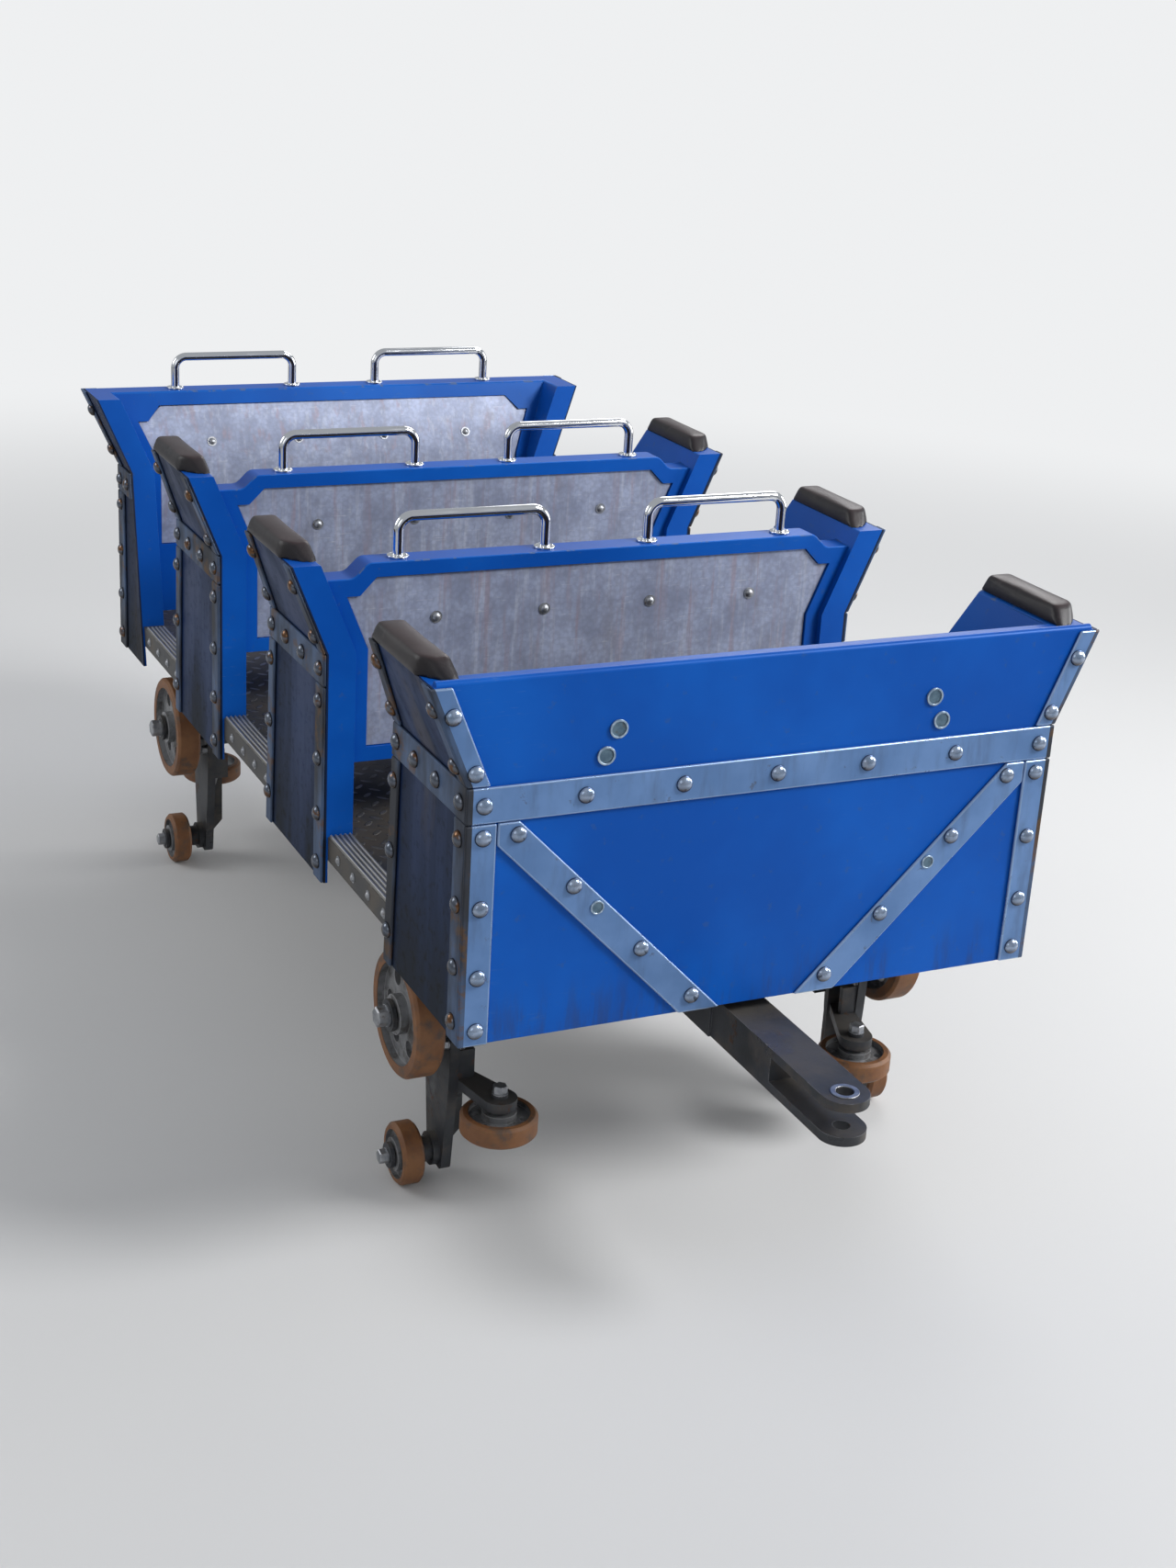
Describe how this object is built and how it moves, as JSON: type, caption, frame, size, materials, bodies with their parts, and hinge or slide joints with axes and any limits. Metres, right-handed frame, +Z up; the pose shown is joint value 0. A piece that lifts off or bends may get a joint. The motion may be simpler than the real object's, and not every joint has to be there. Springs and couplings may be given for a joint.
{
  "type": "mine train roller coaster car",
  "caption": "Open steel coaster car: rows of paired seats in flared tubs on a chassis whose wheels hold a tubular track from above, beside and below.",
  "frame": {"origin": "on the ground under the middle of the car, between its coupling pins", "axes": "+X forward, +Y to the left, +Z up"},
  "size_m": [3.2329, 1.346, 1.2645],
  "materials": {
    "blue_paint": "glossy, scuffed and dusty",
    "bar_paint": "satin, stained by rust and dust",
    "galvanised": "dull, streaked",
    "chrome": "polished",
    "polished_steel": "polished by hands",
    "pad_vinyl": "soft sheen, cracked at the edges",
    "seat_vinyl": "soft sheen, creased",
    "dark_steel": "satin, greasy and dusty",
    "tread_alloy": "worn ribs",
    "urethane": "matte tyre on a painted hub"
  },
  "bodies": {
    "car": {"chassis_spine": "dark_steel", "chassis_rails": "dark_steel", "cross_members": "dark_steel", "floor_pan": "dark_steel", "sill_treads": "tread_alloy", "nose_shell": "blue_paint", "nose_liner": "galvanised", "nose_bands": "bar_paint", "tub_front": "blue_paint", "tub_middle": "blue_paint", "tub_rear": "blue_paint", "back_liners": "galvanised", "tub_bands_front": "bar_paint", "tub_bands_middle": "bar_paint", "tub_bands_rear": "bar_paint", "wing_pads": "pad_vinyl", "grab_bars_nose": "chrome", "grab_bars_front": "chrome", "grab_bars_middle": "chrome", "bench_front": "dark_steel", "bench_middle": "dark_steel", "bench_rear": "dark_steel", "seat_cushions": "seat_vinyl", "back_cushions": "seat_vinyl", "axle_beam_front": "dark_steel", "axle_beam_rear": "dark_steel", "wheel_carrier_fl": "dark_steel", "wheel_carrier_fr": "dark_steel", "wheel_carrier_rl": "dark_steel", "wheel_carrier_rr": "dark_steel", "coupler_front": "dark_steel", "coupler_rear": "dark_steel", "brake_fin": "dark_steel", "dog_brackets": "dark_steel"},
    "lap_bar_rear": {"lap_bar_rear": "polished_steel"},
    "lap_bar_middle": {"lap_bar_middle": "polished_steel"},
    "lap_bar_front": {"lap_bar_front": "polished_steel"},
    "running_wheel_fl": {"running_wheel_fl": "urethane"},
    "guide_wheel_fl": {"guide_wheel_fl": "urethane"},
    "upstop_wheel_fl": {"upstop_wheel_fl": "urethane"},
    "running_wheel_fr": {"running_wheel_fr": "urethane"},
    "guide_wheel_fr": {"guide_wheel_fr": "urethane"},
    "upstop_wheel_fr": {"upstop_wheel_fr": "urethane"},
    "running_wheel_rl": {"running_wheel_rl": "urethane"},
    "guide_wheel_rl": {"guide_wheel_rl": "urethane"},
    "upstop_wheel_rl": {"upstop_wheel_rl": "urethane"},
    "running_wheel_rr": {"running_wheel_rr": "urethane"},
    "guide_wheel_rr": {"guide_wheel_rr": "urethane"},
    "upstop_wheel_rr": {"upstop_wheel_rr": "urethane"},
    "chain_dog": {"chain_dog": "dark_steel"},
    "rollback_dog": {"rollback_dog": "dark_steel"}
  },
  "joints": [
    {"name": "lap_bar_rear_lift", "type": "hinge", "parent": "car", "child": "lap_bar_rear", "pos_m": [-1.095, 0, 0.82], "axis": [0, -1, 0], "range_deg": [0, 50]},
    {"name": "lap_bar_middle_lift", "type": "hinge", "parent": "car", "child": "lap_bar_middle", "pos_m": [-0.35, 0, 0.82], "axis": [0, -1, 0], "range_deg": [0, 50]},
    {"name": "lap_bar_front_lift", "type": "hinge", "parent": "car", "child": "lap_bar_front", "pos_m": [0.395, 0, 0.82], "axis": [0, -1, 0], "range_deg": [0, 50]},
    {"name": "running_wheel_fl_spin", "type": "hinge", "parent": "car", "child": "running_wheel_fl", "pos_m": [0.85, 0.533, 0.373], "axis": [0, 1, 0], "continuous": true},
    {"name": "guide_wheel_fl_spin", "type": "hinge", "parent": "car", "child": "guide_wheel_fl", "pos_m": [1, 0.399, 0.189], "axis": [0, 0, 1], "continuous": true},
    {"name": "upstop_wheel_fl_spin", "type": "hinge", "parent": "car", "child": "upstop_wheel_fl", "pos_m": [0.85, 0.533, 0.0635], "axis": [0, 1, 0], "continuous": true},
    {"name": "running_wheel_fr_spin", "type": "hinge", "parent": "car", "child": "running_wheel_fr", "pos_m": [0.85, -0.533, 0.373], "axis": [0, 1, 0], "continuous": true},
    {"name": "guide_wheel_fr_spin", "type": "hinge", "parent": "car", "child": "guide_wheel_fr", "pos_m": [1, -0.399, 0.189], "axis": [0, 0, 1], "continuous": true},
    {"name": "upstop_wheel_fr_spin", "type": "hinge", "parent": "car", "child": "upstop_wheel_fr", "pos_m": [0.85, -0.533, 0.0635], "axis": [0, 1, 0], "continuous": true},
    {"name": "running_wheel_rl_spin", "type": "hinge", "parent": "car", "child": "running_wheel_rl", "pos_m": [-0.85, 0.533, 0.373], "axis": [0, 1, 0], "continuous": true},
    {"name": "guide_wheel_rl_spin", "type": "hinge", "parent": "car", "child": "guide_wheel_rl", "pos_m": [-1, 0.399, 0.189], "axis": [0, 0, 1], "continuous": true},
    {"name": "upstop_wheel_rl_spin", "type": "hinge", "parent": "car", "child": "upstop_wheel_rl", "pos_m": [-0.85, 0.533, 0.0635], "axis": [0, 1, 0], "continuous": true},
    {"name": "running_wheel_rr_spin", "type": "hinge", "parent": "car", "child": "running_wheel_rr", "pos_m": [-0.85, -0.533, 0.373], "axis": [0, 1, 0], "continuous": true},
    {"name": "guide_wheel_rr_spin", "type": "hinge", "parent": "car", "child": "guide_wheel_rr", "pos_m": [-1, -0.399, 0.189], "axis": [0, 0, 1], "continuous": true},
    {"name": "upstop_wheel_rr_spin", "type": "hinge", "parent": "car", "child": "upstop_wheel_rr", "pos_m": [-0.85, -0.533, 0.0635], "axis": [0, 1, 0], "continuous": true},
    {"name": "chain_dog_swing", "type": "hinge", "parent": "car", "child": "chain_dog", "pos_m": [0.48, 0, 0.44], "axis": [0, 1, 0], "range_deg": [0, 35]},
    {"name": "rollback_dog_swing", "type": "hinge", "parent": "car", "child": "rollback_dog", "pos_m": [-0.52, 0, 0.44], "axis": [0, 1, 0], "range_deg": [0, 35]}
  ]
}
